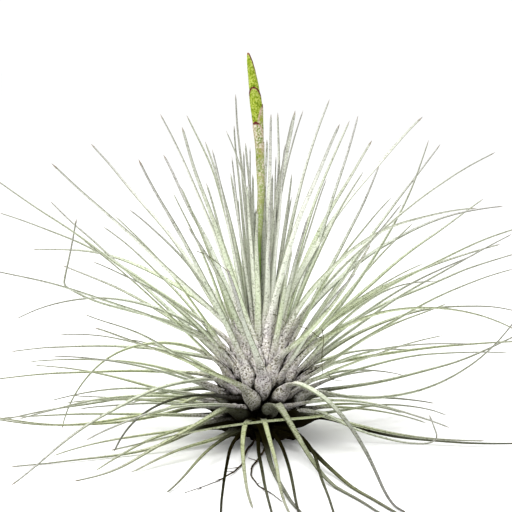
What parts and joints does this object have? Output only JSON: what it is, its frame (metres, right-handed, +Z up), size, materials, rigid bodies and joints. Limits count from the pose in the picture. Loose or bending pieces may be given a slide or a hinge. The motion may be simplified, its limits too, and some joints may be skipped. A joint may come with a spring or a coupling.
{
  "type": "air plant",
  "caption": "Bulbous silvery air plant with a rosette of thread-like arching leaves, a leaning budding flower spike and wiry roots, resting on its cut stem.",
  "frame": {"origin": "middle of the stem's flat cut end, on the surface the plant rests on", "axes": "+Z up along the stem and the flower spike, -Y the front, +X to the right seen from the front; the spike leans towards -X"},
  "size_m": [0.2256, 0.2287, 0.147],
  "materials": {
    "leaf": "matte",
    "bract": "matte",
    "stalk": "matte",
    "stem": "matte",
    "root": "matte"
  },
  "bodies": {
    "root": {"stem": "stem", "leaf_01": "leaf", "leaf_02": "leaf", "leaf_03": "leaf", "leaf_04": "leaf", "leaf_05": "leaf", "leaf_06": "leaf", "leaf_07": "leaf", "leaf_08": "leaf", "leaf_09": "leaf", "leaf_10": "leaf", "leaf_11": "leaf", "leaf_12": "leaf", "leaf_13": "leaf", "leaf_14": "leaf", "leaf_15": "leaf", "leaf_16": "leaf", "leaf_17": "leaf", "leaf_18": "leaf", "leaf_19": "leaf", "leaf_20": "leaf", "leaf_21": "leaf", "leaf_22": "leaf", "leaf_23": "leaf", "leaf_24": "leaf", "leaf_25": "leaf", "leaf_26": "leaf", "leaf_27": "leaf", "leaf_28": "leaf", "leaf_29": "leaf", "leaf_30": "leaf", "leaf_31": "leaf", "leaf_32": "leaf", "leaf_33": "leaf", "leaf_34": "leaf", "leaf_35": "leaf", "leaf_36": "leaf", "leaf_37": "leaf", "leaf_38": "leaf", "leaf_39": "leaf", "leaf_40": "leaf", "leaf_41": "leaf", "leaf_42": "leaf", "leaf_43": "leaf", "leaf_44": "leaf", "leaf_45": "leaf", "leaf_46": "leaf", "leaf_47": "leaf", "leaf_48": "leaf", "leaf_49": "leaf", "leaf_50": "leaf", "spike_stalk": "stalk", "bract_1": "bract", "bract_2": "bract", "bract_3": "bract", "bract_4": "bract", "bract_5_bud": "bract", "root_1": "root", "root_2": "root", "root_3": "root"}
  },
  "joints": []
}
